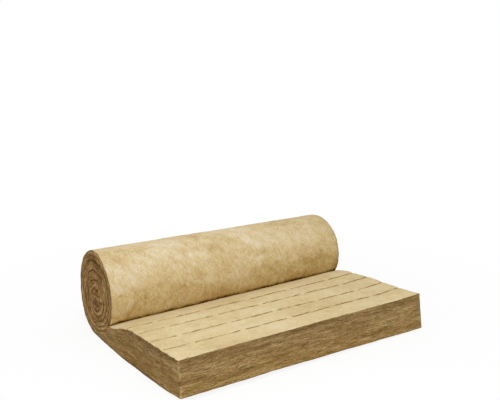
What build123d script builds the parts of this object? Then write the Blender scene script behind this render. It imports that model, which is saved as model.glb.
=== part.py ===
"""Insulation roll: one mat of glass wool, wound tight, with its free end unrolled.

The mat is one piece. Its section is drawn in the YZ plane and stretched along the
roll's axis, X. The wound part is squeezed to a thin turn. The free end runs out from
under the roll towards -Y, springs back to its full thickness and curls up a little.
The turns show on both ends as one spiral groove that starts at the crease.
"""

import os
from math import cos, radians, sin

from build123d import *

# Driving dimensions, in millimetres and degrees
MAT_WIDTH = 1200.0  # along the roll's axis
MAT_THICKNESS = 140.0  # of the free end, after it has sprung back
TURN_THICKNESS = 30.0  # of the mat where it is squeezed in the roll
ROLL_HEIGHT = 368.0  # from the floor to the top of the roll
CREASE_ANGLE = 35.0  # below level, where the roll's front parts from the free end
SHOULDER_LENGTH = 300.0  # over which the free end springs back to full thickness
FLAT_LENGTH = 15.0  # of the free end that lies level
CURL_RADIUS = 2200.0  # of the underside of the curled end
CURL_ANGLE = 7.0  # that the cut end is turned up by
CUT_EDGE_RADIUS = 4.0  # the soft edge along the top and bottom of the cut end
EYE_RADIUS = 16.0  # where the innermost turn is pressed shut
GROOVE_WIDTH = 3.0  # the gap between two turns, at the ends of the roll
GROOVE_DEPTH = 8.0  # how far the gap between two turns stays open

# The winding is two half circles a turn: the back half is centred lower than the front half
BACK_RADIUS = ROLL_HEIGHT / 2
FRONT_RADIUS = BACK_RADIUS - TURN_THICKNESS / 2
BACK_CENTRE = (0.0, BACK_RADIUS)
FRONT_CENTRE = (0.0, BACK_RADIUS + TURN_THICKNESS / 2)


def on_circle(centre, radius, degrees):
    """The point of a circle at an angle from +Y, turning towards +Z."""
    return (
        centre[0] + radius * cos(radians(degrees)),
        centre[1] + radius * sin(radians(degrees)),
    )


CREASE_AT = 180.0 + CREASE_ANGLE
CREASE = on_circle(FRONT_CENTRE, FRONT_RADIUS, CREASE_AT)
SHOULDER_TOP = (CREASE[0] - SHOULDER_LENGTH, MAT_THICKNESS)
CURL_CENTRE = (SHOULDER_TOP[0] - FLAT_LENGTH, CURL_RADIUS)
CUT_AT = 270.0 - CURL_ANGLE
CUT_TOP = on_circle(CURL_CENTRE, CURL_RADIUS - MAT_THICKNESS, CUT_AT)
CUT_BOTTOM = on_circle(CURL_CENTRE, CURL_RADIUS, CUT_AT)


def mat_section():
    """The outline of the wound mat and its free end, with the roll's axis over Y = 0."""
    with BuildSketch() as section:
        with BuildLine():
            CenterArc(BACK_CENTRE, BACK_RADIUS, -90, 180)
            CenterArc(FRONT_CENTRE, FRONT_RADIUS, 90, 90 + CREASE_ANGLE)
            TangentArc(SHOULDER_TOP, CREASE, tangent=(1, 0))
            Line(SHOULDER_TOP, (CURL_CENTRE[0], MAT_THICKNESS))
            CenterArc(CURL_CENTRE, CURL_RADIUS - MAT_THICKNESS, CUT_AT, CURL_ANGLE)
            Line(CUT_TOP, CUT_BOTTOM)
            CenterArc(CURL_CENTRE, CURL_RADIUS, CUT_AT, CURL_ANGLE)
            Line((CURL_CENTRE[0], 0), (0, 0))
        make_face()
        fillet(section.vertices().sort_by(Axis.X)[:2], CUT_EDGE_RADIUS)
    return section.sketch


def groove_line():
    """The spiral between two turns: from the crease, under the roll, inwards to the eye."""
    arcs = [CenterArc(FRONT_CENTRE, FRONT_RADIUS, CREASE_AT, 90 - CREASE_ANGLE)]
    radius = FRONT_RADIUS - TURN_THICKNESS / 2
    at_back = True
    while radius > EYE_RADIUS:
        if at_back:
            arcs.append(CenterArc(BACK_CENTRE, radius, -90, 180))
        else:
            arcs.append(CenterArc(FRONT_CENTRE, radius, 90, 180))
        radius -= TURN_THICKNESS / 2
        at_back = not at_back
    return Wire(arcs)


def groove_band():
    """The groove's flat shape: the spiral with half the gap on each side."""
    with BuildSketch() as band:
        with BuildLine():
            add(groove_line())
            offset(amount=GROOVE_WIDTH / 2, side=Side.BOTH)
        make_face()
    return band.sketch


def wound_mat():
    """The whole mat, its middle on X = 0 and its section standing on Z = 0."""
    section = mat_section()
    across = Plane.YZ.offset(-MAT_WIDTH / 2) * Pos(-section.bounding_box().center().X, 0)
    mat = extrude(across * section, amount=MAT_WIDTH)
    band = across * groove_band()
    mat -= extrude(band, amount=GROOVE_DEPTH)
    mat -= Pos(MAT_WIDTH - GROOVE_DEPTH, 0, 0) * extrude(band, amount=GROOVE_DEPTH)
    return mat


os.makedirs("parts", exist_ok=True)
export_step(wound_mat(), "parts/wool_mat.step")
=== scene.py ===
# %% [markdown]
# # A roll of glass wool insulation
# One long mat of glass wool is wound tight, and its free end is rolled out in front.
# A solid of it comes packed as a frame: it gives the place and the size, but it is hard and smooth.
# This lesson makes the soft mat that stands for that solid, and a studio to look at it in.

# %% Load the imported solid
from math import cos, radians, sin, sqrt

import bmesh
import bpy
import numpy as np
from mathutils import Matrix, Vector, noise


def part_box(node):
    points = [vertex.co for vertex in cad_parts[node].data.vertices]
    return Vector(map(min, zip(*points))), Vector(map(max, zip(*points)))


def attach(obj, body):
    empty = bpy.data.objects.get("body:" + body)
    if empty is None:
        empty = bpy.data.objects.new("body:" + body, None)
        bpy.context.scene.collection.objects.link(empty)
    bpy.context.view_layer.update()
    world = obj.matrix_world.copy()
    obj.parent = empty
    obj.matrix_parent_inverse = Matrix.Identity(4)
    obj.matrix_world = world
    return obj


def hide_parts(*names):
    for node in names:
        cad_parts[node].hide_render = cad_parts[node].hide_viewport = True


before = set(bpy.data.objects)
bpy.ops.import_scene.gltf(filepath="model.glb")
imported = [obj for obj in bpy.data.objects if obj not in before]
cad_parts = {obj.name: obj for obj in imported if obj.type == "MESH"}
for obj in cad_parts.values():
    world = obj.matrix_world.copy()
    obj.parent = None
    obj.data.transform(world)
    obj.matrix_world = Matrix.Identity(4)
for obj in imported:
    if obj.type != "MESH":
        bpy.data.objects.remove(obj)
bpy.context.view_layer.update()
low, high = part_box("wool_mat")
WIDTH = high.x - low.x  # along the roll's axis
END = WIDTH / 2  # how far the mat's sides lie from its middle
HEIGHT = high.z  # from the floor to the top of the roll
AXIS_Y = high.y - HEIGHT / 2  # where the roll's axis lies
print(f"the solid is {WIDTH:.3f} m wide and {HEIGHT:.3f} m high, its axis at y = {AXIS_Y:.4f} m")

# %% [markdown]
# ## The camera
# A camera is found again from a photograph by fitting straight edges and round outlines.
# The result is a place, three angles and a focal length in pixels of a 500 pixel wide frame.
# Blender wants a lens in millimetres, so the focal length is scaled to the sensor's width.

# %% Camera
FRAME_PIXELS = 500
FOCAL_PIXELS = 740
YAW, PITCH, TILT = radians(34.609), radians(12.727), radians(0.258)
CAMERA_AT = (-1.7447, -2.7991 + AXIS_Y, 1.2619)


def new_object(name, data):
    """An object with this data, put in the scene."""
    made = bpy.data.objects.new(name, data)
    bpy.context.scene.collection.objects.link(made)
    return made


camera = new_object("camera", bpy.data.cameras.new("camera"))
bpy.context.scene.camera = camera
camera.data.sensor_width = 36  # millimetres
camera.data.lens = camera.data.sensor_width * FOCAL_PIXELS / FRAME_PIXELS

ahead = Vector((sin(YAW) * cos(PITCH), cos(YAW) * cos(PITCH), -sin(PITCH)))
level = Vector((cos(YAW), -sin(YAW), 0))
above = level.cross(ahead)
right = level * cos(TILT) + above * sin(TILT)
turn = Matrix((right, right.cross(ahead), -ahead)).transposed()
camera.matrix_world = Matrix.Translation(CAMERA_AT) @ turn.to_4x4()
print(f"the lens is {camera.data.lens:.1f} mm")

# %% [markdown]
# ## Small helpers
# Colours are written as hex values, the way a paint chart gives them, and Blender works in linear light.
# Materials and Geometry Nodes are both trees of nodes, so one function that adds a node serves them all:
# it takes the node's kind, what goes into its inputs, and its settings. A node stands for its first output.

# %% Colours and nodes
def linear(code):
    """The linear colour of an sRGB hex value."""
    parts = [int(code[i : i + 2], 16) / 255 for i in (1, 3, 5)]
    return (*((p / 12.92 if p <= 0.04045 else ((p + 0.055) / 1.055) ** 2.4) for p in parts), 1.0)


def add(tree, kind, inputs=None, **settings):
    """Adds one node, sets its settings, then sets its inputs or links them to sockets and nodes."""
    made = tree.nodes.new(kind)
    for name, value in settings.items():
        setattr(made, name, value)
    for name, value in (inputs or {}).items():
        if isinstance(value, bpy.types.Node):
            value = value.outputs[0]
        if isinstance(value, bpy.types.NodeSocket):
            tree.links.new(value, made.inputs[name])
        else:
            made.inputs[name].default_value = value
    return made


def new_material(name):
    """An empty node material with its output."""
    material = bpy.data.materials.new(name)
    material.use_nodes = True
    material.node_tree.nodes.clear()
    return material, material.node_tree, add(material.node_tree, "ShaderNodeOutputMaterial")


print("a mid grey of #808080 is", round(linear("#808080")[0], 3), "in linear light")

# %% [markdown]
# ## The sky
# The mat lies in a plain studio, where an even sky fills every shadow, as white walls do.
# The background should be white without more light on the mat. So the rays that show it see a brighter sky
# than those that light the mat: the camera's own rays, and those of gloss and glass.

# %% Sky
bpy.context.scene.view_settings.view_transform = "Standard"
SKY = 0.62  # strength of the light on the mat
WHITE = (1, 1, 1, 1)


def plainly_seen(tree):
    """1 for the rays that show the background: the camera's own, and those of gloss and glass."""
    path = add(tree, "ShaderNodeLightPath").outputs
    seen = path["Is Camera Ray"]
    for ray in ("Is Glossy Ray", "Is Transmission Ray"):
        seen = add(tree, "ShaderNodeMath", {0: seen, 1: path[ray]}, operation="MAXIMUM")
    return seen


world = bpy.data.worlds.new("sky")
bpy.context.scene.world = world
world.use_nodes = True
tree = world.node_tree
tree.nodes.clear()
strength = add(tree, "ShaderNodeMapRange", {"Value": plainly_seen(tree), "To Min": SKY, "To Max": 1.0})
sky = add(tree, "ShaderNodeBackground", {"Color": WHITE, "Strength": strength})
add(tree, "ShaderNodeOutputWorld", {"Surface": sky})
print(f"a sky of strength {SKY}, seen as plain white")

# %% [markdown]
# ## The floor
# The floor is a sweep of matt white paper. Lit paper alone comes out a little grey, and paper that glows
# shows no shadow, so the two are mixed. Near the mat a share of what is seen is lit paper, which keeps the
# shadow, and further out the floor is plain white.

# %% Floor
PAPER_SHARE = 0.12  # of lit paper in what is seen near the mat
NEAR, FAR = 0.7, 1.8  # metres from the middle between which that share runs out
FLOOR_SIZE = 24
FLOOR_DROP = 0.0006  # below the mat, so that the two faces don't fight

paper, tree, out = new_material("white_paper_sweep")
# Matt white paper has no gloss: all it gives the eye is a soft shadow
here = add(tree, "ShaderNodeTexCoord")
away = add(tree, "ShaderNodeVectorMath", {0: here.outputs["Object"]}, operation="LENGTH")
plain = add(tree, "ShaderNodeMapRange", {
    "Value": away.outputs["Value"], "From Min": NEAR, "From Max": FAR, "To Min": 1 - PAPER_SHARE,
})
lit = add(tree, "ShaderNodeBsdfDiffuse", {"Color": WHITE})
glow = add(tree, "ShaderNodeEmission", {"Color": WHITE, "Strength": 1.0})
seen = add(tree, "ShaderNodeMath", {0: plainly_seen(tree), 1: plain}, operation="MULTIPLY")
mix = add(tree, "ShaderNodeMixShader", {0: seen, 1: lit, 2: glow})
tree.links.new(mix.outputs[0], out.inputs["Surface"])

bpy.ops.mesh.primitive_plane_add(size=FLOOR_SIZE, location=(0, 0, -FLOOR_DROP))
floor = bpy.context.object
floor.name = "floor"
floor.data.materials.append(paper)
print(f"a floor of {FLOOR_SIZE} m")

# %% [markdown]
# ## The lamp
# One large lamp stands high in front, a little to the left. It makes the lying top bright and leaves
# the upright cuts darker. A lamp this wide casts soft shadows, where a small one would draw hard lines.

# %% Lamp
LAMP_AT = Vector((-0.70, -0.95, 2.6))
LAMP_AIM = Vector((-0.1, -0.1, 0.2))

lamp = new_object("lamp", bpy.data.lights.new("lamp", "AREA"))
lamp.data.shape = "DISK"
lamp.data.size = 1.6
lamp.data.energy = 33
lamp.location = LAMP_AT
lamp.rotation_euler = (LAMP_AT - LAMP_AIM).to_track_quat("Z", "Y").to_euler()
print(f"a lamp of {lamp.data.energy} W at {LAMP_AT.length:.2f} m")

# %% [markdown]
# ## The patterns of glass wool felt
# Glass wool is thin glass fibre, spun, sprayed with a brown binder and cured into a felt.
# The binder gives the straw colour. The fibres lie flat in the face, so the face is pale and soft,
# with clouds where the binder is thicker and short strokes where tufts landed one over the other.
# A picture of felt would repeat. Noise doesn't, and it can be stretched to the size of any tuft. So each
# pattern is a row of a table: its length and width in metres, its turn in degrees, a shift that sets it
# apart from the others, and its share. Their sum is one tone from deep to pale.

# %% A tone from rows of patterns
OUTER_SHADES = ("#a5864b", "#d2ba88", "#e9ddc4")  # deep, middle and pale
INNER_SHADES = ("#b39560", "#d8c496", "#efe3c6")
OUTER_ROWS = (
    (0.220, 0.160, 0, 0.0, 0.46),  # clouds of binder
    (0.050, 0.035, 20, 3.1, 0.37),  # clumps of tufts
    (0.070, 0.0070, 80, 5.7, 0.36),  # tufts along the mat
    (0.060, 0.0070, 40, 8.3, 0.30),  # tufts aslant
    (0.055, 0.0070, -40, 1.9, 0.30),  # tufts the other way
    (0.005, 0.005, 0, 4.4, 0.36),  # grain, far coarser than the fibres so that it shows
)
INNER_ROWS = (
    (0.260, 0.180, 0, 6.0, 0.34),  # clouds of binder
    (0.050, 0.050, 0, 2.1, 0.26),  # clumps of tufts
    (0.035, 0.008, 60, 7.7, 0.20),  # tufts aslant
    (0.030, 0.008, -50, 5.2, 0.18),  # tufts the other way
    (0.005, 0.005, 0, 9.4, 0.34),  # grain, as coarse as on the outer face
)


def tone_of(tree, where, rows):
    """The sum of all the rows' patterns, about 0."""
    total = -sum(row[-1] for row in rows) / 2
    for length, width, turned, shift, share in rows:
        stretch = add(tree, "ShaderNodeMapping", {
            "Vector": where,
            "Location": (shift, shift, 0),
            "Rotation": (0, 0, radians(turned)),
            "Scale": (length, width, 1),
        }, vector_type="TEXTURE")
        patches = add(tree, "ShaderNodeTexNoise", {
            "Vector": stretch, "Scale": 1.0, "Detail": 2.5, "Roughness": 0.55,
        })
        sums = {0: patches, 1: share, 2: total}
        total = add(tree, "ShaderNodeMath", sums, operation="MULTIPLY_ADD")
    return total


print(f"{len(OUTER_ROWS)} patterns on the outer face, {len(INNER_ROWS)} on the inner")

# %% [markdown]
# ## Patterns that follow the mat
# A pattern fixed in space would run through the roll like grain through a log. The mat's mesh gets a UV map
# in metres instead, across and along the mat, so that the patterns follow it round the roll.
# Slow noise pushes the place about, and tufts wander. Where the mat is squeezed, they are held straighter.

# %% A place on the mat
HELD = 0.75  # share of the wandering that a full squeeze takes away
FELT_BEND, FELT_WANDER = 0.09, (0.07, 0.07, 0)  # size of the bends, and how far they push
CUT_BEND, CUT_WANDER = 0.15, (0.03, 0.016, 0)  # the layers of a cut wander less
MID_NOISE = (0.5, 0.5, 0.5)  # taken off a noise colour, so that it pushes both ways


def bent_place(tree, size, reach):
    """The mat's UV place, pushed about by slow noise, less where the mat is squeezed."""
    here = add(tree, "ShaderNodeUVMap", uv_map="mat")
    slow = add(tree, "ShaderNodeTexNoise", {"Vector": here, "Scale": 1 / size, "Detail": 2.0})
    push = add(tree, "ShaderNodeVectorMath", {0: slow.outputs["Color"], 1: MID_NOISE}, operation="SUBTRACT")
    squeeze = add(tree, "ShaderNodeAttribute", attribute_name="squeeze")
    free = {0: squeeze.outputs["Fac"], 1: -HELD, 2: 1.0}
    free = add(tree, "ShaderNodeMath", free, operation="MULTIPLY_ADD")
    push = add(tree, "ShaderNodeVectorMath", {0: push, "Scale": free}, operation="SCALE")
    bent = {0: push, 1: reach, 2: here}
    return add(tree, "ShaderNodeVectorMath", bent, operation="MULTIPLY_ADD")


print(f"tufts wander by {FELT_WANDER[0] / 2 * 1000:.0f} mm at most, layers by {CUT_WANDER[1] / 2 * 1000:.0f}")

# %% [markdown]
# ## From a tone to a finish
# All the wool is one material in several states, so its finishes end alike. A row of shades turns the tone
# into colour, patches shift the hue a little, as binder does that cured more or less, and the tone raises
# the surface. Light scatters between the fibres, so all of it is about as matt as a surface can be.

# %% Shades, hue and relief
def hue_patches(tree, where, size, swing):
    """A hue that drifts by a swing either way, in patches of a size."""
    patches = add(tree, "ShaderNodeTexNoise", {"Vector": where, "Scale": 1 / size, "Detail": 2.0})
    return add(tree, "ShaderNodeMapRange", {
        "Value": patches,
        "From Min": 0.3,
        "From Max": 0.7,
        "To Min": 0.5 - swing,
        "To Max": 0.5 + swing,
    })


def wool_finish(tree, out, tone, shades, look, hue=None, rich=None, relief=None):
    """Colours a tone by shades at places from 0 to 1, and hands it to a shader with a look."""
    ramp = add(tree, "ShaderNodeValToRGB", {"Fac": tone})
    stops = ramp.color_ramp.elements
    for place_at, code in shades[1:-1]:
        stops.new(place_at).color = linear(code)
    for stop, (place_at, code) in ((stops[0], shades[0]), (stops[-1], shades[-1])):
        stop.position = place_at
        stop.color = linear(code)
    colour = ramp
    if hue is not None:
        colour = add(tree, "ShaderNodeHueSaturation", {"Color": ramp, "Hue": hue, "Saturation": rich})
    look = {"Base Color": colour, **look}
    if relief is not None:
        strength, height = relief
        bump = add(tree, "ShaderNodeBump", {"Height": tone, "Strength": strength, "Distance": height})
        look["Normal"] = bump
    shader = add(tree, "ShaderNodeBsdfPrincipled", look)
    tree.links.new(shader.outputs[0], out.inputs["Surface"])


DEEPEST_PAINTED_SHADE = "#6a4a20"  # painted shade: the darkest colour of the felt, deep in the crease
print("the deepest felt is", [round(part, 3) for part in linear(DEEPEST_PAINTED_SHADE)[:3]], "in linear light")

# %% [markdown]
# ## How felt shines
# Glass has an IOR of 1.5, but felt is mostly air, so it hardly shines at all. A trace of sheen stands for
# the loose fibre ends that catch a grazing light. Its tufts are a few millimetres high.

# %% Look of felt
FELT_LOOK = {
    "Roughness": 0.95,
    "IOR": 1.5,
    "Specular IOR Level": 0.1,
    "Sheen Weight": 0.05,
    "Sheen Roughness": 0.6,
    "Sheen Tint": linear("#d2b476"),
}
FELT_HUE = (0.035, 0.010)  # size of the patches, and how far their hue swings
FELT_RELIEF = (0.5, 0.004)  # strength, and height of the tufts
print(f"felt with a roughness of {FELT_LOOK['Roughness']} and tufts {FELT_RELIEF[1] * 1000:.0f} mm high")

# %% [markdown]
# ## The two faces of the felt
# The outer face is coarser and has more binder. The inner face, on top of the free end, is finer.
# Two finishes of one kind are one function with its own numbers. On the roll, light and shade are painted by
# height: the felt is paler and less rich at the top, and deeper and richer lower down, where its patterns are
# also stronger.

# %% Felt faces
def felt(name, shades, rows, painted_top_light, low_swing):
    """A face of the mat: its shades, its patterns, the painted light on its top, and their strength low down.
    """
    material, tree, out = new_material(name)
    where = bent_place(tree, FELT_BEND, FELT_WANDER)
    place_in_air = add(tree, "ShaderNodeTexCoord").outputs["Object"]
    height = add(tree, "ShaderNodeSeparateXYZ", {0: place_in_air}).outputs["Z"]
    # Painted light and shade: the roll's felt is paler high up and deeper low down, as the lamp falls on it
    painted_height_light = add(tree, "ShaderNodeMapRange", {
        "Value": height, "From Min": 0.19, "From Max": 0.33, "To Min": -0.45 * painted_top_light, "To Max": painted_top_light,
    }, interpolation_type="SMOOTHSTEP")
    strength = add(tree, "ShaderNodeMapRange", {
        "Value": height, "From Min": 0.10, "From Max": 0.28, "To Min": low_swing, "To Max": 1.0,
    })
    # Painted light as well: the felt is less saturated high up and richer low down
    rich = add(tree, "ShaderNodeMapRange", {
        "Value": height, "From Min": 0.12, "From Max": 0.32, "To Min": 1 + 2 * painted_top_light, "To Max": 1 - painted_top_light,
    })
    tint = add(tree, "ShaderNodeAttribute", attribute_name="tint")
    middle = 0.5
    for change in (painted_height_light, tint.outputs["Fac"]):
        middle = add(tree, "ShaderNodeMath", {0: change, 1: middle}, operation="ADD")
    swing = {0: tone_of(tree, where, rows), 1: strength, 2: middle}
    tone = add(tree, "ShaderNodeMath", swing, operation="MULTIPLY_ADD")
    deep, mid, pale = shades
    # The lowest step is painted crease shade, which only the crease's tint reaches
    steps = ((0, DEEPEST_PAINTED_SHADE), (0.2, deep), (0.5, mid), (0.8, pale), (1, pale))
    hue = hue_patches(tree, where, *FELT_HUE)
    wool_finish(tree, out, tone, steps, FELT_LOOK, hue, rich, FELT_RELIEF)
    return material


# Cured felt gives the eye a pale, soft straw colour with clouds and tufts, and no gloss
# Only the roll's outer felt gets painted light and shade by height; the flat inner face gets none
outer_felt = felt("glass_wool_outer_felt", OUTER_SHADES, OUTER_ROWS, painted_top_light=0.045, low_swing=1.3)
inner_felt = felt("glass_wool_inner_felt", INNER_SHADES, INNER_ROWS, painted_top_light=0.0, low_swing=1.0)
print("felts:", outer_felt.name, inner_felt.name)

# %% [markdown]
# ## The layers in a cut
# Where a blade has cut the mat, the layers show edge on. Light goes in between the fibres and is lost,
# so a cut is much browner than a face. Its patterns are long and thin and follow the layers.
# The layer under the inner face is a darker skin, and where the mat is squeezed the layers differ more.

# %% Layers in a cut
CUT_ROWS = (
    (0.300, 0.024, 0, 0.0, 0.74),  # bands of layers
    (0.090, 0.0045, 0, 3.3, 0.58),  # single layers
    (0.025, 0.0090, 0, 6.1, 0.38),  # tufts that stand out of the cut
    (0.007, 0.0040, 0, 1.7, 0.50),  # fibre ends, far coarser than the real ones so that they show
)
SQUEEZED_CONTRAST = 0.75  # what a full squeeze adds to the differences between layers
SKIN_SHADE = -0.08  # of the dark skin, which lies between 114 and 130 mm deep

cut_wool, tree, out = new_material("glass_wool_cut")
# A fibrous cut gives the eye brown, broken lines along the layers, dull from every side
where = bent_place(tree, CUT_BEND, CUT_WANDER)
on_mat = add(tree, "ShaderNodeUVMap", uv_map="mat")
depth = add(tree, "ShaderNodeSeparateXYZ", {0: on_mat}).outputs["Y"]
skin = add(tree, "ShaderNodeMapRange", {
    "Value": depth, "From Min": 0.114, "From Max": 0.130, "To Max": SKIN_SHADE,
})
layers = {0: tone_of(tree, where, CUT_ROWS), 1: skin}
layers = add(tree, "ShaderNodeMath", layers, operation="ADD")
squeeze = add(tree, "ShaderNodeAttribute", attribute_name="squeeze").outputs["Fac"]
contrast = {0: squeeze, 1: SQUEEZED_CONTRAST, 2: 1.0}
contrast = add(tree, "ShaderNodeMath", contrast, operation="MULTIPLY_ADD")
tone = add(tree, "ShaderNodeMath", {0: layers, 1: contrast, 2: 0.5}, operation="MULTIPLY_ADD")
print(f"{len(CUT_ROWS)} patterns in {cut_wool.name}")

# %% [markdown]
# ## Crevices in a cut
# Between two turns, and along the underside, light is lost in a dark line. It comes and goes along the mat,
# and it is deeper up in the roll than near the floor, which throws light back. Deep mesh gaps alone would
# look ruled, so part of each line is shade: a crevice times two patterns. The tint of the mesh comes on top.

# %% Crevices and colour of a cut
CREVICE = 0.006  # how far into the thickness the dark line reaches
CREVICE_SHADE = -0.36
BREAK = 0.12  # length of a stretch of dark line
SQUEEZED_HUE = -0.008  # squeezed layers are redder
CUT_HUE = (0.06, 0.007)
CUT_RELIEF = (0.7, 0.005)

crevice = add(tree, "ShaderNodeMapRange", {
    "Value": depth, "From Max": CREVICE, "To Min": CREVICE_SHADE, "To Max": 0.0,
})
broken = add(tree, "ShaderNodeTexNoise", {"Vector": where, "Scale": 1 / BREAK, "Detail": 1.0})
broken = add(tree, "ShaderNodeMapRange", {"Value": broken, "From Min": 0.35, "From Max": 0.55})
here = add(tree, "ShaderNodeTexCoord").outputs["Object"]
height = add(tree, "ShaderNodeSeparateXYZ", {0: here}).outputs["Z"]
high_up = add(tree, "ShaderNodeMapRange", {
    "Value": height, "From Min": 0.10, "From Max": 0.24, "To Min": 0.6,
})
dark = crevice
for share in (broken, high_up):
    dark = add(tree, "ShaderNodeMath", {0: dark, 1: share}, operation="MULTIPLY")
tint = add(tree, "ShaderNodeAttribute", attribute_name="tint").outputs["Fac"]
for change in (dark, tint):
    tone = add(tree, "ShaderNodeMath", {0: tone, 1: change}, operation="ADD")

hue = {0: squeeze, 1: SQUEEZED_HUE, 2: hue_patches(tree, where, *CUT_HUE)}
hue = add(tree, "ShaderNodeMath", hue, operation="MULTIPLY_ADD")
rich = add(tree, "ShaderNodeMapRange", {
    "Value": depth, "From Min": 0.02, "From Max": 0.12, "To Min": 1.03, "To Max": 0.95,
})
cut_shades = ((0, "#4a3418"), (0.30, "#7a5c30"), (0.5, "#987947"), (0.72, "#bfa270"), (1, "#dcc596"))
cut_look = {"Roughness": 1.0, "IOR": 1.5, "Specular IOR Level": 0.08}
wool_finish(tree, out, tone, cut_shades, cut_look, hue, rich, CUT_RELIEF)
print("cut:", cut_wool.name)

# %% [markdown]
# ## The winding
# Seen from the end, the gap between two turns is one line. It starts at the crease, where the roll leaves
# the free end, goes under the roll and winds inwards. A true spiral could be used, but half circles are what
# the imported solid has: each half turn is half a circle, smaller than the last by half a turn's thickness.
# The same number of points in every turn puts each point right outside the one a turn further in.

# %% The line between two turns
TURN = 0.030  # the mat's thickness in the roll
EYE = 0.016  # radius at which the innermost turn is pressed shut
HALF = 72  # points in half a turn
AROUND = 2 * HALF
CREASE = HALF + 50  # the point on the winding where the free end parts from the roll

points = []
radius = HEIGHT / 2
half = 0
while radius > EYE:
    centre = HEIGHT / 2 + TURN / 2 * (half % 2)
    for step in range(HALF):
        angle = radians(180 * (half + step / HALF) - 90)
        points.append((radius * cos(angle), centre + radius * sin(angle)))
    radius -= TURN / 2
    half += 1
points.append((0.0, centre - radius - TURN / 2))
winding = np.array(points)
LAST = len(winding) - 1
print(f"{LAST / AROUND:.1f} turns")

# %% [markdown]
# ## Turns out of round
# A mat rolled up by hand is never round inside: its inner turns are pushed about a little and have sagged.
# Noise moves each point of the line, more and more towards the eye, and the outermost turn stays as it is.
# This kind of noise starts from the clock unless it gets a seed, and then each run would differ.

# %% Sag of the inner turns
noise.seed_set(5)
ROUND_SHARE = 0.12  # of the winding, from outside, that stays round
PUSH_SIZE = 0.10  # from one push to the next
PUSH = np.array((0.014, 0.010))
SAG = np.array((-0.006, -0.058))

inward = np.clip((np.arange(LAST + 1) / LAST - ROUND_SHARE) / (1 - ROUND_SHARE), 0, 1)
for i, (y, z) in enumerate(winding):
    push = noise.noise_vector(Vector((y / PUSH_SIZE, z / PUSH_SIZE, 3.7)))
    winding[i] += inward[i] * (np.array(push.xy) * PUSH + SAG)
crease = winding[CREASE]
print(f"the crease lies at y = {crease[0]:.3f}, z = {crease[1]:.3f} from under the axis")

# %% [markdown]
# ## The free end as a strip
# Any point of the mat is found by how far along the mat it is, how deep in its thickness and how far across.
# Columns of two points, one on the outer face and one on the inner, say where the mat runs.
# They start at the cut end, follow its curl and the shoulder, and come to the crease.

# %% Columns of the free end
MAT = 0.140  # its thickness
SHOULDER = 0.300  # length over which it springs back
FLAT = 0.015  # level length before the curl
CURL_RADIUS = 2.2
CURL_ANGLE = radians(7)
CURL_COLUMNS, SHOULDER_COLUMNS = 37, 39

shoulder_y = crease[0] - SHOULDER
curl = np.array((shoulder_y - FLAT, CURL_RADIUS))
rise = MAT - crease[1]
bow = (SHOULDER**2 + rise**2) / (2 * rise)  # radius of the shoulder

outer, inner = [], []
for angle in np.linspace(CURL_ANGLE, 0, CURL_COLUMNS):
    way = np.array((-sin(angle), -cos(angle)))
    outer.append(curl + CURL_RADIUS * way)
    inner.append(curl + (CURL_RADIUS - MAT) * way)
for y in np.linspace(shoulder_y, crease[0], SHOULDER_COLUMNS):
    outer.append(np.array((y, 0.0)))
    inner.append(np.array((y, MAT - bow + sqrt(bow**2 - (y - shoulder_y) ** 2))))
at_crease = len(outer) - 1  # the column whose inner point is the crease
print(f"{len(outer)} columns from the cut to the crease")

# %% [markdown]
# ## The turns as a strip
# Past the crease the strip goes under the roll. From there on, one turn of the line is its outer face and
# the next turn in is its inner face. The last turn has nothing inside it, so its columns end in the eye.

# %% Columns of the turns
EYE_STEP = 0.001  # length that each column of the eye counts for


def run_along(line):
    """How far along a line each of its points lies."""
    return np.concatenate(([0], np.cumsum(np.linalg.norm(np.diff(line, axis=0), axis=1))))


for i in range(CREASE + 1, AROUND + 1):
    outer.append(np.array((winding[i][0], 0.0)))
    inner.append(winding[i])
at_floor = len(outer) - 1  # the column whose outer point is the winding's first
for i in range(1, LAST - AROUND + 1):
    outer.append(winding[i])
    inner.append(winding[i + AROUND])
at_eye = len(outer) - 1  # the last column of the strip: inside it is only the eye
eye = winding[at_eye - at_floor :].mean(axis=0)
for i in range(LAST - AROUND + 1, LAST + 1):
    outer.append(winding[i])
    inner.append(eye)
outer, inner = np.array(outer), np.array(inner)
thick = np.linalg.norm(inner - outer, axis=1)
middle_line = (outer + inner) / 2
along = run_along(middle_line[: at_eye + 1])
along = np.concatenate((along, along[-1] + EYE_STEP * np.arange(1, AROUND + 1)))
print(f"{len(outer)} columns, {along[at_eye]:.2f} m of mat")

# %% [markdown]
# ## Gaps between the turns
# At the roll's ends two turns part here and there by a few millimetres, and the gap closes further in.
# The weight of the wool shuts it below, so it is widest at the top of a turn, and the outermost turn
# stands off a little in front. A gap of one width would look like a groove, so noise opens and shuts it.

# %% Gaps and lips
GAP_DEPTH = 0.032  # how far a gap goes in from the end
SHUT, OPEN = 0.0009, 0.008  # widths where the turns touch and where they part most
PARTING = 13  # points of the winding from one parting to the next
STAND_OFF = 0.004  # what the gap inside the outermost turn gains in front
FRONT_INDEX = 3.5 * HALF  # the point of the winding in the middle of that front
EASE = 20  # points over which the gap starts at the crease and ends at the eye
CREASE_STEPS = 6  # points before and past the crease over which the crease itself goes in
EDGE = 0.003  # radius of the mat's soft edges

index = np.arange(len(winding))
parting = np.array([max(0, noise.noise(Vector((i / PARTING, 5.2, 0)))) for i in index])
by_height = 0.6 - 0.4 * np.cos(np.pi * index / HALF)  # 1 at the top of a turn, 0.2 below
to_eye = np.clip((LAST - index) / EASE, 0, 1)
gap = SHUT + OPEN * parting * by_height * np.clip((index - CREASE) / EASE, 0, 1)
gap += STAND_OFF * np.clip(1 - abs(index - FRONT_INDEX) / (0.5 * HALF), 0, 1)
gap *= np.clip((index - CREASE + CREASE_STEPS) / CREASE_STEPS, 0, 1) * to_eye
lip = EDGE * to_eye

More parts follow.
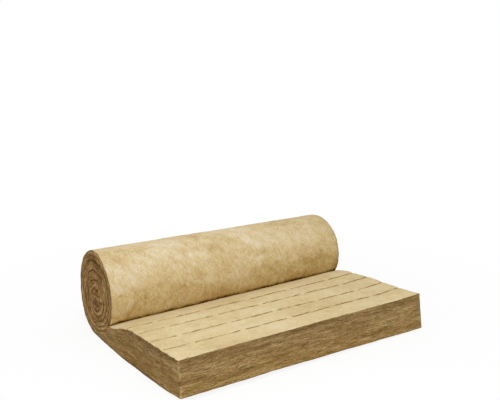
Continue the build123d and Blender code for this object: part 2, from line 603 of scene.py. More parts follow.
column = np.arange(len(outer))
outer_index = np.clip(column - at_floor, 0, LAST)
inner_index = np.clip(column - at_crease + CREASE, 0, LAST)
outer_gap = np.where(column > at_floor, gap[outer_index], 0)
inner_gap = np.where(column > at_crease - CREASE_STEPS, gap[inner_index], 0)
inner_gap[at_eye + 1 :] = 0
outer_lip = np.where(column > at_floor, lip[outer_index], EDGE)
inner_lip = np.where(column > at_crease, lip[inner_index], EDGE)
print(f"gaps of {gap[CREASE:].max() * 1000:.1f} mm at most")

# %% [markdown]
# ## A point of the mat
# One function turns a place on the strip into a point in space, so every patch of the skin bends alike.
# It makes the soft edges too: a point near two faces is drawn back onto a round. A bevel would do the same
# to a box, but it can't follow a gap that opens and shuts. The curled end hangs lower towards the right.

# %% Where a point of the mat lies
DROOP = 0.75  # share of the curl's height that is lost at the right side


def place(col, deep, x, floor_gap, roof_gap):
    """Points of the mat at a column, a depth in metres from its outer face and a place across it."""
    col, deep, x, floor_gap, roof_gap = np.broadcast_arrays(col, deep, x, floor_gap, roof_gap)
    full = thick[col]
    near_outer = deep < full / 2
    soft = np.where(near_outer, outer_lip[col], inner_lip[col])
    from_face = np.where(near_outer, deep - floor_gap, full - roof_gap - deep)
    lack = np.stack((soft - along[col], soft - (END - abs(x)), soft - from_face), -1).clip(0)
    size = np.linalg.norm(lack, axis=-1)
    keep = np.where(size > 0, soft / np.maximum(size, 1e-9), 1)
    back = lack * (1 - keep)[..., None]
    deep = deep + np.where(near_outer, back[..., 2], -back[..., 2])
    x = x - np.sign(x) * back[..., 1]
    run = along[col] + back[..., 0]
    start = np.stack([np.interp(run, along, outer[:, k]) for k in (0, 1)], -1)
    end = np.stack([np.interp(run, along, inner[:, k]) for k in (0, 1)], -1)
    share = (deep / full)[..., None]
    section = start + (end - start) * share
    to_right = (x / WIDTH + 0.5) ** 2
    droop = DROOP * to_right * (1 - share[..., 0]) * start[..., 1] * (col <= at_crease)
    return np.stack((x, section[..., 0] + AXIS_Y, section[..., 1] - droop), -1)


print("the middle of the cut end lies at", place(np.array([0]), MAT / 2, 0.0, 0, 0)[0].round(3))

# %% [markdown]
# ## Patches of the skin
# The mat is one closed skin, sewn from patches: the outer face, the inner face, both sides, the cut end,
# the walls of the gap between the turns, and the eye. Each patch is a grid of points, which gives it a clean
# UV map. Where two patches meet they have the same points. The lines of points are closer at the ends.

# %% A grid of points as a patch
CROSS = np.array((0.0, 0.002, 0.006, 0.014, GAP_DEPTH))  # distances from an end of the lines next to it
PLAIN_LINES = 126  # lines of points between the two ends
OUTER, INNER, CUT = 0, 1, 2  # finishes, in the order of the mat's materials
ACROSS = np.array((1.0, 0, 0))
verts, faces, uvs, kinds, ways, squeezes = [], [], [], [], [], []

between = np.linspace(-END + GAP_DEPTH, END - GAP_DEPTH, PLAIN_LINES)[1:-1]
x_lines = np.concatenate((-END + CROSS, between, END - CROSS[::-1]))


def patch(points, uv, kind, way, squeeze=0.0):
    """Adds a grid of points as quads, with places on the mat, a finish, and their layers' way and squeeze."""
    rows, cols = points.shape[:2]
    base = sum(len(grid) for grid in verts)
    verts.append(points.reshape(-1, 3))
    cell = (np.arange(rows - 1)[:, None] * cols + np.arange(cols - 1)).ravel()
    quad = np.stack((cell, cell + 1, cell + cols + 1, cell + cols), -1)
    faces.append(quad + base)
    uvs.append(np.stack(np.broadcast_arrays(*uv), -1).reshape(-1, 2)[quad])
    kinds.append(np.full(len(quad), kind))
    ways.append(np.broadcast_to(way, points.shape).reshape(-1, 3)[quad[:, 0]])
    squeezes.append(np.broadcast_to(squeeze, points.shape[:2]).ravel()[quad[:, 0]])


print(f"{len(x_lines)} lines of points across the mat, {(between[1] - between[0]) * 1000:.1f} mm apart")

# %% [markdown]
# ## The two faces
# The outer face is the underside, the back and the front of the roll. The inner face is the free end's top.
# By the crease both go in a little way all along the roll, so that it is a real fold with shade in it.

# %% Outer and inner face
def half_gap(cols, index_at, gaps):
    """Half the gap at these columns, right across the mat: open at the ends, and everywhere by the crease."""
    by_crease = np.clip((CREASE + CREASE_STEPS - index_at[cols]) / CREASE_STEPS, 0, 1)
    by_end = 1 - np.minimum((END - abs(x_lines)) / GAP_DEPTH, 1)
    return gaps[cols] / 2 * np.maximum(by_crease, by_end)


cols = np.arange(at_floor + CREASE + CREASE_STEPS + 1)[:, None]
offset = half_gap(cols, outer_index, outer_gap)
patch(place(cols, offset, x_lines, offset, inner_gap[cols] / 2), (x_lines, along[cols]), OUTER, ACROSS)
cols = np.arange(at_crease + CREASE_STEPS + 1)[:, None]
offset = half_gap(cols, inner_index, inner_gap)
patch(place(cols, thick[cols] - offset, x_lines, 0, offset), (x_lines, along[cols]), INNER, ACROSS)
print(f"{sum(len(part) for part in faces)} quads on the two faces")

# %% [markdown]
# ## The sides and the cut end
# Both sides of the mat and its free end were cut by a blade. Their UV map holds the depth in the thickness,
# which the crevices and the skin read. Each face keeps the way its layers run and how squeezed they are,
# for the patterns and the loose fibres. Layers look coarser where the mat is squeezed.

# %% Sides and cut end
EDGE_LINES = CROSS[:4]
FULL_EDGE = 0.05  # thickness under which the lines by an edge move closer together
DEPTH_STEPS = 9  # lines from the last of one edge to the last of the other
SIDE_SHIFT = 2  # metres that set the patterns of the two sides apart
COARSER = 0.3  # power of the thickness that the layers' size follows
FREE, PRESSED = 0.09, 0.045  # thicknesses without a squeeze and with a full one


def depth_lines(col):
    """Depths of the points in the thickness at these columns, closer together at the edges."""
    full = thick[col][:, None]
    near = EDGE_LINES * np.minimum(1, full / FULL_EDGE)
    inside = near[:, -1:] + (full - 2 * near[:, -1:]) * np.linspace(0, 1, DEPTH_STEPS)[1:-1]
    floor_gap, roof_gap = outer_gap[col][:, None] / 2, inner_gap[col][:, None] / 2
    return np.concatenate((floor_gap + near, inside, full - roof_gap - near[:, ::-1]), axis=1)


run = np.gradient(middle_line, axis=0)
run /= np.linalg.norm(run, axis=1)[:, None]
layer_way = np.concatenate((np.zeros((len(run), 1)), run), axis=1)[:, None, :]
depths = depth_lines(np.arange(at_eye + 1))
cols = np.arange(at_eye + 1)[:, None]
loose = depths * (thick[cols] / MAT) ** COARSER
squeezed = np.clip((FREE - thick[cols]) / (FREE - PRESSED), 0, 1)
for side in (-1, 1):
    points = place(cols, depths, side * END, outer_gap[cols] / 2, inner_gap[cols] / 2)
    patch(points, (along[cols] + SIDE_SHIFT * side, loose), CUT, layer_way[: at_eye + 1], squeezed)
end_depths = depths[:1].T
patch(place(0, end_depths, x_lines, 0, 0), (x_lines, end_depths), CUT, ACROSS)
print(f"{sum(len(part) for part in faces)} quads with the sides and the cut end")

# %% [markdown]
# ## The walls of the gap
# A gap needs two walls that meet further in, or the skin would be open there. They are grids as well:
# one on the turn inside the gap and one on the turn outside it, from the crease to the eye.

# %% Walls of the gap
turns = np.arange(CREASE + CREASE_STEPS, LAST + 1)[:, None]
closing = gap[turns] / 2 * (1 - CROSS / GAP_DEPTH)
for side in (-1, 1):
    x = side * (END - CROSS)
    col = turns + at_floor
    place_on_mat = (along[col] + SIDE_SHIFT * side, CROSS)
    patch(place(col, closing, x, closing, 0), place_on_mat, CUT, layer_way[col[:, 0]], 1.0)
    col = turns - CREASE + at_crease
    place_on_mat = (along[col] + SIDE_SHIFT * side, MAT + CROSS)
    patch(place(col, thick[col] - closing, x, 0, closing), place_on_mat, CUT, layer_way[col[:, 0]], 1.0)
print(f"{sum(len(part) for part in faces)} quads with the walls")

# %% [markdown]
# ## The eye
# The innermost end of the mat is pressed into a lump. Its outline is the last turn of the winding and the
# last column of the strip. Rings drawn in to a middle point fill it more evenly than a fan of thin faces.

# %% Eye
RINGS = np.array((0.0, 0.12, 0.35, 0.6, 0.85))  # shares of the way to the middle
LUMP = 1.7  # how much finer the layers are in the lump
LUMP_WAY = np.array((0, 0.7, 0.7))

turns = np.arange(LAST - AROUND, LAST + 1)
for side in (-1, 1):
    rim = place(turns + at_floor, gap[turns] / 2, side * END, gap[turns] / 2, 0)
    stop = place(at_eye, depths[at_eye][::-1], side * END, outer_gap[at_eye] / 2, inner_gap[at_eye] / 2)
    rim = np.concatenate((rim, stop[1:]))
    heart = np.array((side * END, eye[0] + AXIS_Y, eye[1]))
    rings = rim + (heart - rim) * RINGS[:, None, None]
    rings[1:, :, 0] = side * END
    rings = np.concatenate((rings, np.broadcast_to(heart, (1, *rim.shape))))
    patch(rings, (rings[..., 1] * LUMP, rings[..., 2] * LUMP), CUT, LUMP_WAY, 1.0)
print(f"{sum(len(part) for part in faces)} quads in all")

# %% [markdown]
# ## Sewing
# The patches become one mesh with its UV map and what each face keeps. Merging points that lie on each other
# sews it together. A skin without open edges has an inside, so its faces can be turned outwards.

# %% Sewing
SEAM = 0.00001  # points closer than this are one
SLIVER = 0.000001  # edges shorter than this are taken out

mesh = bpy.data.meshes.new("wool_roll")
mesh.from_pydata(np.concatenate(verts).tolist(), [], np.concatenate(faces).tolist())
mesh.uv_layers.new(name="mat").uv.foreach_set("vector", np.concatenate(uvs).astype(np.float32).ravel())
mesh.polygons.foreach_set("material_index", np.concatenate(kinds).astype(np.int32))
for name, kind, key, kept in (
    ("layer_way", "FLOAT_VECTOR", "vector", ways),
    ("squeeze", "FLOAT", "value", squeezes),
):
    values = np.concatenate(kept).astype(np.float32).ravel()
    mesh.attributes.new(name, kind, "FACE").data.foreach_set(key, values)
work = bmesh.new()
work.from_mesh(mesh)
bmesh.ops.remove_doubles(work, verts=work.verts, dist=SEAM)
bmesh.ops.dissolve_degenerate(work, edges=work.edges, dist=SLIVER)
bmesh.ops.recalc_face_normals(work, faces=work.faces)
open_edges = sum(not e.is_manifold for e in work.edges)
print(f"{len(work.verts)} points, {len(work.faces)} faces, {open_edges} open edges")

# %% [markdown]
# ## Ends that stand out
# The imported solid's ends are flat, and those of a real roll are not. Single layers stand out or lie back, and
# the wool bulges where the roll's weight squeezes it. These are formulas of the place and not sculpting by
# hand, so that they can be read and changed. Each effect fades with the distance from where it is strongest.

# %% How far an end stands out
FRONT_Z = HEIGHT / 2 + TURN / 2  # height of the front half circles' centre
UNEVEN, LAYER = 0.008, 0.015  # how far single layers stand out or lie back, and their thickness
COIL = 0.12  # radius up to which they do so in full
RIGHT_OUT, RIGHT_BELLY = 0.004, 0.003  # the roll's right end: all over, and more at its belly
CORNER_OUT = 0.003  # the right corner of the cut
LEFT_OUT = 0.0055  # the roll's left end stands out in front and lies back behind
HALF_ROLL = 0.184  # from the axis to its front or back
SIDE_OUT, FOOT_OUT = 0.003, 0.008  # the free end's left side: all along, and more where it bulges
BULGE_Y = -0.03  # where that side bulges most
crease_y = crease[0] + AXIS_Y
cut_y = outer[0][0] + AXIS_Y


def fade(distance, reach):
    """1 at no distance, 0 from the reach on, and smooth between."""
    d = min(1.0, abs(distance / reach))
    return 1 - d * d * (3 - 2 * d)


def stand_out(x, y, z):
    """How far the mat stands out of its end or side at a point."""
    from_end = END - abs(x)
    reach = max(sqrt((y - AXIS_Y) ** 2 + (z - FRONT_Z) ** 2), 1e-6)
    turned = Vector((1.3 * (y - AXIS_Y) / reach, 1.3 * (z - FRONT_Z) / reach, reach / LAYER + 9 * (x > 0)))
    uneven = UNEVEN * noise.noise(turned) * fade(max(reach - COIL, 0), 0.04) * fade(from_end, 0.035)
    on_roll = fade(max(crease_y - y, 0), 0.2)
    if x > 0:
        bulge = on_roll * (RIGHT_OUT + RIGHT_BELLY * fade(z - 0.13, 0.10))
        bulge += CORNER_OUT * fade(y - cut_y, 0.08)
    else:
        bulge = LEFT_OUT * on_roll * min(max((AXIS_Y - y) / HALF_ROLL, -1), 1) * min(z / 0.2, 1)
        bulge += (SIDE_OUT + FOOT_OUT * fade(y - BULGE_Y, 0.3 if y < BULGE_Y else 0.5)) * fade(z, MAT)
    return uneven + bulge * fade(from_end, 0.10)


print(f"the left side stands out by {stand_out(-END, BULGE_Y, 0.0) * 1000:.1f} mm at its foot")

# %% [markdown]
# ## Heights that differ
# The roll is a little thicker at the left, and the free end rises at its corners. Its cutting marks lie in
# shallow dents, and at the left the shoulder has sunk next to the crease. The rows of marks are measured
# along the top of the free end, as with a tape laid on it.

# %% How much higher a point lies
FIRST_MARK, MARK_PITCH, MARK_ROWS = 0.124, 0.100, 4  # from the cut, then from row to row
THICKER = 0.010  # what the roll's left end is higher by than its right
UPPER, UPPER_REACH = 0.2, 0.168  # that starts at this height, and is full at the roll's top
RIGHT_RISE, RIGHT_RISE_Y = 0.007, -0.2  # how far the free end rises at its right side, and where
LEFT_RISE, LEFT_RISE_Y = 0.005, -0.29  # the same at its left side
DENT, DENT_REACH = 0.002, 0.016
SUNK, SUNK_BEFORE = 0.008, 0.025  # how deep the shoulder has sunk, and how far before the crease

top_run = run_along(inner[: at_crease + 1])
row_y = np.interp(FIRST_MARK + MARK_PITCH * np.arange(MARK_ROWS), top_run, inner[: at_crease + 1, 0]) + AXIS_Y


def rise_by(x, y, z):
    """How much higher a point lies than on the plain strip."""
    higher = -THICKER * x / WIDTH * min(max((z - UPPER) / UPPER_REACH, 0), 1)
    at_right = RIGHT_RISE * fade(END - x, 0.15) * fade(y - RIGHT_RISE_Y, 0.35)
    at_left = LEFT_RISE * fade(x + END, 0.15) * fade(y - LEFT_RISE_Y, 0.15)
    higher += min(z / MAT, 1) * (at_right + at_left)
    if y < crease_y and z > 0.08:
        higher -= DENT * max(fade(y - row, DENT_REACH) for row in row_y)
    ahead_of = y - crease_y + SUNK_BEFORE
    by_crease = fade(ahead_of, 0.12 if ahead_of < 0 else 0.06) * fade(x + END, 0.09)
    return higher - SUNK * by_crease * min(z / crease[1], 1) * fade(max(z - crease[1], 0), 0.1)


print("rows of marks at y =", row_y.round(3))

# %% [markdown]
# ## A crease that wanders
# The shoulder is fuller at the right, so the crease lies higher round the roll there, and lower at the left.
# Turning the points near the crease about the roll's own centre moves it and keeps the roll round.

# %% The turn of the crease
LEFT_TURN, RIGHT_TURN = 3.5, -4.0  # degrees


def from_crease(y, z):
    """How far a point of the section lies from the crease, and whether it is on the roll's side of it."""
    return sqrt((y - crease_y) ** 2 + (z - crease[1]) ** 2), z - crease[1] > 0.8 * abs(y - crease_y)


def turned_point(x, y, z):
    """A point, turned about the centre of the roll's front as far as the crease near it."""
    near_crease, _ = from_crease(y, z)
    turned = radians(LEFT_TURN * fade(x + END, 0.9) + RIGHT_TURN * fade(END - x, 0.45))
    turned *= fade(near_crease, 0.20)
    y, z = y - AXIS_Y, z - FRONT_Z
    along_y = AXIS_Y + y * cos(turned) - z * sin(turned)
    return Vector((x, along_y, FRONT_Z + y * sin(turned) + z * cos(turned)))


print("the crease's left end moves to", [round(part, 3) for part in turned_point(-END, crease_y, crease[1])])

# %% [markdown]
# ## Tints
# Some colour is tied to a place on the mat. Most of it is painted shade and light: painted shade down in
# the crease, on the roll's right end and along its rim, at the foot of the left side and along the free
# end's sides, and painted light on a strip before the crease and across the cut end. The upright left edge
# of the cut is pale and frayed. A tint on each point of the mesh holds all this; every finish adds it to its
# tone.

# %% Tint of a point
PAINTED_CREASE_SHADE = (0.36, 0.26)  # painted shade in the crease: on the whole, and from one fleck to the next
PAINTED_RIGHT_END_SHADE = 0.20  # painted shade low on the right end of the roll
PAINTED_RIM_SHADE, RIGHT_SHADE = 0.16, 0.10  # painted shade along the right rim, and over the right half
PAINTED_STRIP_LIGHT, PAINTED_FOOT_SHADOW = 0.07, 0.24  # painted light on a strip before the crease, and a painted contact shadow at the foot of the left side
PAINTED_SIDE_SHADE = 0.02  # painted shade along the free end's sides
FRAY_PALE, FRAY_SIZE = 0.60, 0.014  # the cut's left edge, and how long its flecks are
PAINTED_END_LIGHT, PAINTED_END_LIGHT_GAIN = 0.02, 0.05  # painted light on the cut end at its left, and what it gains to the right
SURFACE_RADIUS = 0.176  # of the roll, about the front half circles' centre
CUT_LEAN = 0.122  # how far the cut leans back for each metre of height


def flecks(x):
    """How the wool along the crease differs from fleck to fleck."""
    return noise.noise(Vector((x / 0.025, 3.4, 0)))


def tint_of(x, y, z, moved):
    """How much paler a point is than its finish, or darker below 0, mostly as painted light and shade."""
    near_crease, on_roll_side = from_crease(y, z)
    # Painted shade in the crease, wider on the roll's side of it
    net_painted_shade = PAINTED_CREASE_SHADE[0] + PAINTED_CREASE_SHADE[1] * flecks(x)
    net_painted_shade *= fade(near_crease, 0.024 if on_roll_side else 0.008)
    from_surface = sqrt((y - AXIS_Y) ** 2 + (z - FRONT_Z) ** 2) - SURFACE_RADIUS
    on_roll = fade(from_surface, 0.018) * (y > crease_y or on_roll_side)
    # Painted shade on the roll's right end, along its rim and over its right half
    net_painted_shade += on_roll * PAINTED_RIGHT_END_SHADE * fade(END - x, 0.06) * fade(z - 0.12, 0.13)
    net_painted_shade += on_roll * (PAINTED_RIM_SHADE * fade(END - x, 0.018) + RIGHT_SHADE * fade(END - x, 0.50))
    # Painted light on the strip before the crease, then a painted contact shadow along the left side's foot
    net_painted_shade -= PAINTED_STRIP_LIGHT * fade(near_crease - 0.02, 0.06) * (y < crease_y and not on_roll_side)
    net_painted_shade += PAINTED_FOOT_SHADOW * fade(z, 0.014) * fade(x + END, 0.03)
    # Painted shade along the free end's sides
    net_painted_shade += PAINTED_SIDE_SHADE * fade(END - abs(x), 0.01) * (1 - fade(y - cut_y, 0.05)) * (y < crease_y)
    frayed = fade(sqrt((x + END) ** 2 + (y - cut_y - CUT_LEAN * z) ** 2), 0.010)
    # Painted light across the cut end, more to the right, where the lamp gives less
    end_on = fade(y - cut_y, 0.02) * (PAINTED_END_LIGHT + PAINTED_END_LIGHT_GAIN * (x / WIDTH + 0.5))
    return FRAY_PALE * frayed * (0.12 + noise.noise(moved / FRAY_SIZE)) + end_on - net_painted_shade


print(f"the middle of the crease is browner by {-tint_of(0, crease_y, crease[1], Vector()):.2f}")

# %% [markdown]
# ## Lumps and ragged edges
# Felt is lumpy, and its cut edges are ragged, most of all along the left edge of the free end's top.
# Noise of three sizes moves every point by a few millimetres, so the outline shows it too, which a bump in
# the material can't do. Nothing goes below the floor.

# %% Move and tint every point
SLOW_LUMPS, QUICK_LUMPS = (0.16, 0.0018), (0.035, 0.0009)  # size and height
RAG_SIZE, RAGGED, RAGGED_LEFT = 0.022, 0.0018, 0.0045
TOE, TATTERED = -0.005, 0.004  # how far the cut's foot stands forward, and how uneven the crease is

tint = work.verts.layers.float.new("tint")
for v in work.verts:
    x, y, z = v.co
    v.co = turned_point(x, y, z)
    v[tint] = tint_of(x, y, z, v.co)
    near_crease, on_roll_side = from_crease(y, z)
    lumps = Vector()
    for lump, height in (SLOW_LUMPS, QUICK_LUMPS):
        lumps += noise.noise_vector(v.co / lump) * height
    on_left_top = x < 0 and y < crease_y - 0.03 and z > 0.09
    ragged = noise.noise_vector(v.co / RAG_SIZE).x * (RAGGED_LEFT if on_left_top else RAGGED)
    ragged *= fade(END - abs(x), 0.02) * min(z / 0.06, 1)
    sideways = ragged + stand_out(*v.co) * (1 if x > 0 else -1)
    toe = TOE * fade(y - cut_y, 0.12) * max(1 - z / MAT, 0)
    tattered = TATTERED * flecks(x) * fade(near_crease, 0.02) * on_roll_side
    v.co += lumps + Vector((sideways, toe, tattered + rise_by(*v.co)))
    v.co.z = max(v.co.z, 0.0)
work.to_mesh(mesh)
work.free()
mesh.polygons.foreach_set("use_smooth", np.ones(len(mesh.polygons), bool))
for material in (outer_felt, inner_felt, cut_wool):
    mesh.materials.append(material)
wool = new_object("wool_roll", mesh)
print(f"{wool.name}: {len(mesh.vertices)} points, {len(mesh.polygons)} faces")

# %% [markdown]
# ## Shapes that follow the mat
# What repeats on the mat is laid on it by Geometry Nodes. A tree takes the mat as its geometry and a few
# named sizes. Its result is turned into a plain mesh at once, so nothing live is left on the piece.

# %% Run a tree of Geometry Nodes over a mesh
def new_tree(name, sizes):
    """An empty tree with the geometry it runs over, its named sizes and its result."""
    tree = bpy.data.node_groups.new(name, "GeometryNodeTree")
    tree.interface.new_socket("Geometry", in_out="INPUT", socket_type="NodeSocketGeometry")
    for label, value in sizes.items():
        kind = "NodeSocketInt" if isinstance(value, int) else "NodeSocketFloat"
        tree.interface.new_socket(label, in_out="INPUT", socket_type=kind)
    tree.interface.new_socket("Geometry", in_out="OUTPUT", socket_type="NodeSocketGeometry")
    return tree, add(tree, "NodeGroupInput").outputs


def grown(name, tree, over, sizes):
    """A plain mesh object: what the tree makes over a mesh with these sizes."""
    piece = new_object(name, over)
    modifier = piece.modifiers.new(name, "NODES")
    modifier.node_group = tree
    for socket in tree.interface.items_tree:
        if socket.in_out == "INPUT" and socket.name in sizes:
            modifier[socket.identifier] = sizes[socket.name]
    shape = bpy.data.meshes.new_from_object(piece.evaluated_get(bpy.context.evaluated_depsgraph_get()))
    piece.modifiers.remove(modifier)
    piece.data = shape
    shape.name = name
    return piece


print("trees run over a mat of", len(mesh.polygons), "faces")

# %% [markdown]
# ## The finish of the cutting marks
# Rows of brown dashes lie across the inner face, 100 mm apart, so that a length can be cut straight.
# They look burnt into the binder: scorched in spots, and thin between them. They are darker to the right
# and in the outer rows, and here and there a stretch has hardly taken. Each of these is one term of a sum.

# %% Burnt binder
SPOT, MISS = 0.03, 0.07  # sizes of a scorched spot and of a stretch that has hardly taken

burnt, tree, out = new_material("burnt_binder_mark")
# Scorched binder gives the eye a dull brown line that breaks up and fades into the felt
here = add(tree, "ShaderNodeTexCoord").outputs["Object"]
on_mat = add(tree, "ShaderNodeSeparateXYZ", {0: here}).outputs
faint = add(tree, "ShaderNodeMapRange", {
    "Value": on_mat["X"], "From Min": -END, "From Max": END, "To Min": 0.07, "To Max": -0.13,
})
from_middle = add(tree, "ShaderNodeMath", {0: on_mat["Y"], 1: float(row_y.mean())}, operation="SUBTRACT")
from_middle = add(tree, "ShaderNodeMath", {0: from_middle}, operation="ABSOLUTE")
by_row = add(tree, "ShaderNodeMapRange", {
    "Value": from_middle, "From Min": 0.05, "From Max": 0.15, "To Min": 0.03, "To Max": -0.04,
})
missed = add(tree, "ShaderNodeTexNoise", {"Vector": here, "Scale": 1 / MISS, "Detail": 1.0})
missed = add(tree, "ShaderNodeMapRange", {
    "Value": missed, "From Min": 0.54, "From Max": 0.66, "To Max": 0.24,
})
worn = add(tree, "ShaderNodeTexNoise", {"Vector": here, "Scale": 1 / SPOT, "Detail": 3.0})
for change in (faint, by_row, missed):
    worn = add(tree, "ShaderNodeMath", {0: worn, 1: change}, operation="ADD")
burnt_look = {"Roughness": 1.0, "Specular IOR Level": 0.05}
wool_finish(tree, out, worn, ((0.38, "#987c4d"), (0.70, "#ccb583")), burnt_look)
print("marks:", burnt.name)

# %% [markdown]
# ## The dashes
# A grid gives the dashes' middles, above the mat, and a line is put on each. The instances are made real,
# because each line is going to bend its own way, and what would hang over the mat's sides is deleted.

# %% Dashes above the mat
DASHES = 6  # in a row
DASH_POINTS = 32  # along each
mark_sizes = {
    "Dash": 0.200,
    "Pitch": 0.225,
    "Row Pitch": float(row_y[1] - row_y[0]),
    "Middle X": -0.018,
    "Middle Y": float(row_y.mean()),
    "Above": 0.5,  # well above the mat, to be dropped onto it
    "Half Mat": END - 0.004,
    "Wander": 0.010,
    "Line Width": 0.012,
    "Thickness": 0.0008,
}

tree, size = new_tree("cutting_marks", mark_sizes)
reach_x = add(tree, "ShaderNodeMath", {0: size["Pitch"], 1: DASHES - 1}, operation="MULTIPLY")
reach_y = add(tree, "ShaderNodeMath", {0: size["Row Pitch"], 1: MARK_ROWS - 1}, operation="MULTIPLY")
grid = add(tree, "GeometryNodeMeshGrid", {
    "Size X": reach_x, "Size Y": reach_y, "Vertices X": DASHES, "Vertices Y": MARK_ROWS,
})
middle = add(tree, "ShaderNodeCombineXYZ", {"X": size["Middle X"], "Y": size["Middle Y"], "Z": size["Above"]})
grid = add(tree, "GeometryNodeSetPosition", {"Geometry": grid, "Offset": middle})
ends = {}
for end, share in (("Start", -0.5), ("End", 0.5)):
    half = add(tree, "ShaderNodeMath", {0: size["Dash"], 1: share}, operation="MULTIPLY")
    ends[end] = add(tree, "ShaderNodeCombineXYZ", {"X": half})
dash = add(tree, "GeometryNodeCurvePrimitiveLine", ends)
dash = add(tree, "GeometryNodeResampleCurve", {"Curve": dash, "Count": DASH_POINTS})
lines = add(tree, "GeometryNodeInstanceOnPoints", {"Points": grid, "Instance": dash})
lines = add(tree, "GeometryNodeRealizeInstances", {"Geometry": lines})
at = add(tree, "GeometryNodeInputPosition")
from_middle = add(tree, "ShaderNodeSeparateXYZ", {0: at}).outputs["X"]
from_middle = add(tree, "ShaderNodeMath", {0: from_middle}, operation="ABSOLUTE")
off_mat = add(tree, "ShaderNodeMath", {0: from_middle, 1: size["Half Mat"]}, operation="GREATER_THAN")
lines = add(tree, "GeometryNodeDeleteGeometry", {"Geometry": lines, "Selection": off_mat}, domain="POINT")
print(f"{DASHES * MARK_ROWS} dashes of {mark_sizes['Dash'] * 1000:.0f} mm")

# %% [markdown]
# ## Dashes on the mat
# Noise lets the lines wander, and a ray straight down drops every point of them onto the mat, so the marks
# follow its lumps. A flat profile of uneven width makes each line a thin strip with a top, sides and ends.

# %% Dashes laid on the mat
CLEAR = (0, 0, 0.0002)  # above the felt, so that a strip isn't lost in it
BENDS, WEAR = 0.05, 0.016  # lengths of a line's bends and of its worn stretches

drift = add(tree, "ShaderNodeTexNoise", {"Vector": at, "Scale": 1 / BENDS, "Detail": 2.0})
drift = add(tree, "ShaderNodeMath", {0: drift, 1: 0.5}, operation="SUBTRACT")
drift = add(tree, "ShaderNodeMath", {0: drift, 1: size["Wander"]}, operation="MULTIPLY")
drift = add(tree, "ShaderNodeCombineXYZ", {"Y": drift})
above_mat = add(tree, "ShaderNodeVectorMath", {0: at, 1: drift}, operation="ADD")
drop = add(tree, "GeometryNodeRaycast", {
    "Target Geometry": size["Geometry"], "Source Position": above_mat, "Ray Length": 1.0,
})
lines = add(tree, "GeometryNodeSetPosition", {
    "Geometry": lines, "Position": drop.outputs["Hit Position"], "Offset": CLEAR,
})
lines = add(tree, "GeometryNodeSetCurveNormal", {"Curve": lines}, mode="Z_UP")
worn = add(tree, "ShaderNodeTexNoise", {"Vector": at, "Scale": 1 / WEAR, "Detail": 2.0})
worn = add(tree, "ShaderNodeMapRange", {
    "Value": worn, "From Min": 0.3, "From Max": 0.7, "To Min": 0.45, "To Max": 1.2,
})
flat = add(tree, "GeometryNodeCurvePrimitiveQuadrilateral", {
    "Width": size["Line Width"], "Height": size["Thickness"],
})
strips = add(tree, "GeometryNodeCurveToMesh", {
    "Curve": lines, "Profile Curve": flat, "Scale": worn, "Fill Caps": True,
})
made = add(tree, "GeometryNodeSetMaterial", {"Geometry": strips, "Material": burnt})
add(tree, "NodeGroupOutput", {0: made})
marks = grown("cutting_marks", tree, mesh, mark_sizes)
print(f"{marks.name}: {len(marks.data.vertices)} points, {len(marks.data.polygons)} faces")

# %% [markdown]
# ## The finish of the loose fibres
# A cut is never clean: strands of fibre come loose from it and catch the light. Most are brown with binder,
# and a few are nearly bare and pale. Each strand carries a tone of its own, made with its place below.

# %% Glass fibre
strand, tree, out = new_material("glass_fibre")
# Bundles of glass fibre give the eye fine dark and pale lines, a little less dull than the cut
tone = add(tree, "ShaderNodeAttribute", attribute_name="tone")
fibre_shades = ((0.0, "#59431f"), (0.6, "#8f7246"), (1.0, "#c8ae7e"))
wool_finish(tree, out, tone.outputs["Fac"], fibre_shades, {"Roughness": 0.8, "Specular IOR Level": 0.1})
print("fibres:", strand.name)

# %% [markdown]
# ## Strands strewn over the cuts
# Points are strewn over the cut faces, more of them where the edge is frayed. Each gets a way to lie: flat on
# the face and along the layers, turned a little to one side. Hair particles could do this too, but the
# export needs meshes.

# %% Points on the cuts
ASKEW = 0.35  # radians that a strand may be turned to either side
fibre_sizes = {
    "Density": 7000.0,  # strands to a square metre
    "Shortest": 0.012,
    "Longest": 0.045,
    "Thickness": 0.0006,  # a real strand is far thinner: these are as thick as they need to be to show
    "Bend": 0.012,
    "Seed": 7,
}

tree, size = new_tree("loose_fibres", fibre_sizes)
on_cut = add(tree, "GeometryNodeMaterialSelection", {"Material": cut_wool})
tinted = add(tree, "GeometryNodeInputNamedAttribute", {"Name": "tint"})
more = add(tree, "ShaderNodeMapRange", {
    "Value": tinted, "From Min": 0.1, "From Max": 0.3, "To Min": 1.0, "To Max": 4.0,
})
dense = add(tree, "ShaderNodeMath", {0: size["Density"], 1: more}, operation="MULTIPLY")
strewn = add(tree, "GeometryNodeDistributePointsOnFaces", {
    "Mesh": size["Geometry"], "Selection": on_cut, "Density": dense, "Seed": size["Seed"],
}).outputs
way = add(tree, "GeometryNodeInputNamedAttribute", {"Name": "layer_way"}, data_type="FLOAT_VECTOR")
lie = add(tree, "FunctionNodeAxesToRotation", {
    "Primary Axis": strewn["Normal"], "Secondary Axis": way,
}, primary_axis="Z", secondary_axis="X")
askew = add(tree, "FunctionNodeRandomValue", {
    "Min": (0, 0, -ASKEW), "Max": (0, 0, ASKEW), "Seed": size["Seed"],
}, data_type="FLOAT_VECTOR")
askew = add(tree, "FunctionNodeEulerToRotation", {0: askew})
turned = {"Rotation": lie, "Rotate By": askew}
lie = add(tree, "FunctionNodeRotateRotation", turned, rotation_space="LOCAL")
print(f"{fibre_sizes['Density']:.0f} strands to a square metre of cut")

# %% [markdown]
# ## A strand on each point
# A line one metre long is put on each point and scaled to a length of its own. Its tone is kept with it,
# paler where the mat's tint is paler. The instances are then made real, because each is going to bend.

# %% A strand on each point
STRAND_POINTS = 5  # along each
TONE_SEED = 3
PALER = 1.5  # how far a strand's tone follows the tint of the mat

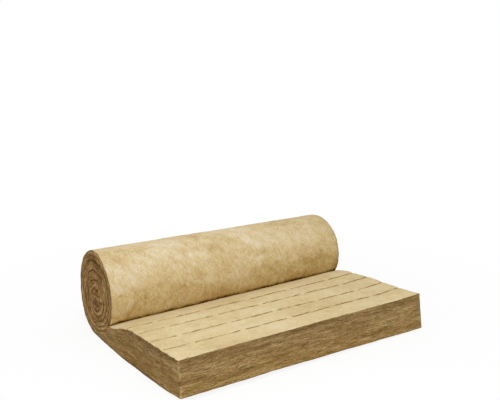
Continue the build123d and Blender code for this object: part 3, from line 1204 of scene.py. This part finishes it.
line = add(tree, "GeometryNodeCurvePrimitiveLine", {"Start": (-0.5, 0, 0), "End": (0.5, 0, 0)})
line = add(tree, "GeometryNodeResampleCurve", {"Curve": line, "Count": STRAND_POINTS})
length = add(tree, "FunctionNodeRandomValue", {2: size["Shortest"], 3: size["Longest"], "Seed": size["Seed"]})
strands = add(tree, "GeometryNodeInstanceOnPoints", {
    "Points": strewn["Points"], "Instance": line, "Rotation": lie, "Scale": length.outputs[1],
})
tone = add(tree, "FunctionNodeRandomValue", {"Seed": TONE_SEED})
tone = add(tree, "ShaderNodeMath", {0: tinted, 1: PALER, 2: tone.outputs[1]}, operation="MULTIPLY_ADD")
strands = add(tree, "GeometryNodeStoreNamedAttribute", {
    "Geometry": strands, "Name": "tone", "Value": tone,
}, domain="INSTANCE")
strands = add(tree, "GeometryNodeRealizeInstances", {"Geometry": strands})
print(f"strands {fibre_sizes['Shortest'] * 1000:.0f} to {fibre_sizes['Longest'] * 1000:.0f} mm long")

# %% [markdown]
# ## Bent strands
# Noise bends each line, and its points are then pressed onto the skin of the mat, so that a strand clings to
# the cut. A profile of three sides is enough for something this thin. A strand near the floor stays above it.

# %% Strands bent over the skin
STRAND_BENDS = 0.03  # length of a strand's bends

at = add(tree, "GeometryNodeInputPosition")
bend = add(tree, "ShaderNodeTexNoise", {"Vector": at, "Scale": 1 / STRAND_BENDS, "Detail": 1.0})
bend = add(tree, "ShaderNodeVectorMath", {0: bend.outputs["Color"], 1: MID_NOISE}, operation="SUBTRACT")
bend = add(tree, "ShaderNodeVectorMath", {0: bend, "Scale": size["Bend"]}, operation="SCALE")
bent = add(tree, "ShaderNodeVectorMath", {0: at, 1: bend}, operation="ADD")
skin = add(tree, "GeometryNodeProximity", {
    "Target": size["Geometry"], "Source Position": bent,
}, target_element="FACES")
strands = add(tree, "GeometryNodeSetPosition", {"Geometry": strands, "Position": skin.outputs["Position"]})
profile = add(tree, "GeometryNodeCurvePrimitiveCircle", {"Resolution": 3, "Radius": size["Thickness"]})
tubes = add(tree, "GeometryNodeCurveToMesh", {"Curve": strands, "Profile Curve": profile, "Fill Caps": True})
made = add(tree, "GeometryNodeSetMaterial", {"Geometry": tubes, "Material": strand})
add(tree, "NodeGroupOutput", {0: made})
fibres = grown("loose_fibres", tree, mesh, fibre_sizes)
for corner in fibres.data.vertices:
    corner.co.z = max(corner.co.z, 0.0)
print(f"{fibres.name}: {len(fibres.data.vertices)} points, {len(fibres.data.polygons)} faces")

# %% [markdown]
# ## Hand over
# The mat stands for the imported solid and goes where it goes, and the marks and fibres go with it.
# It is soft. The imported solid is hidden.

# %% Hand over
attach(wool, "root")
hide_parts("wool_mat")
for piece in (marks, fibres):
    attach(piece, "root")
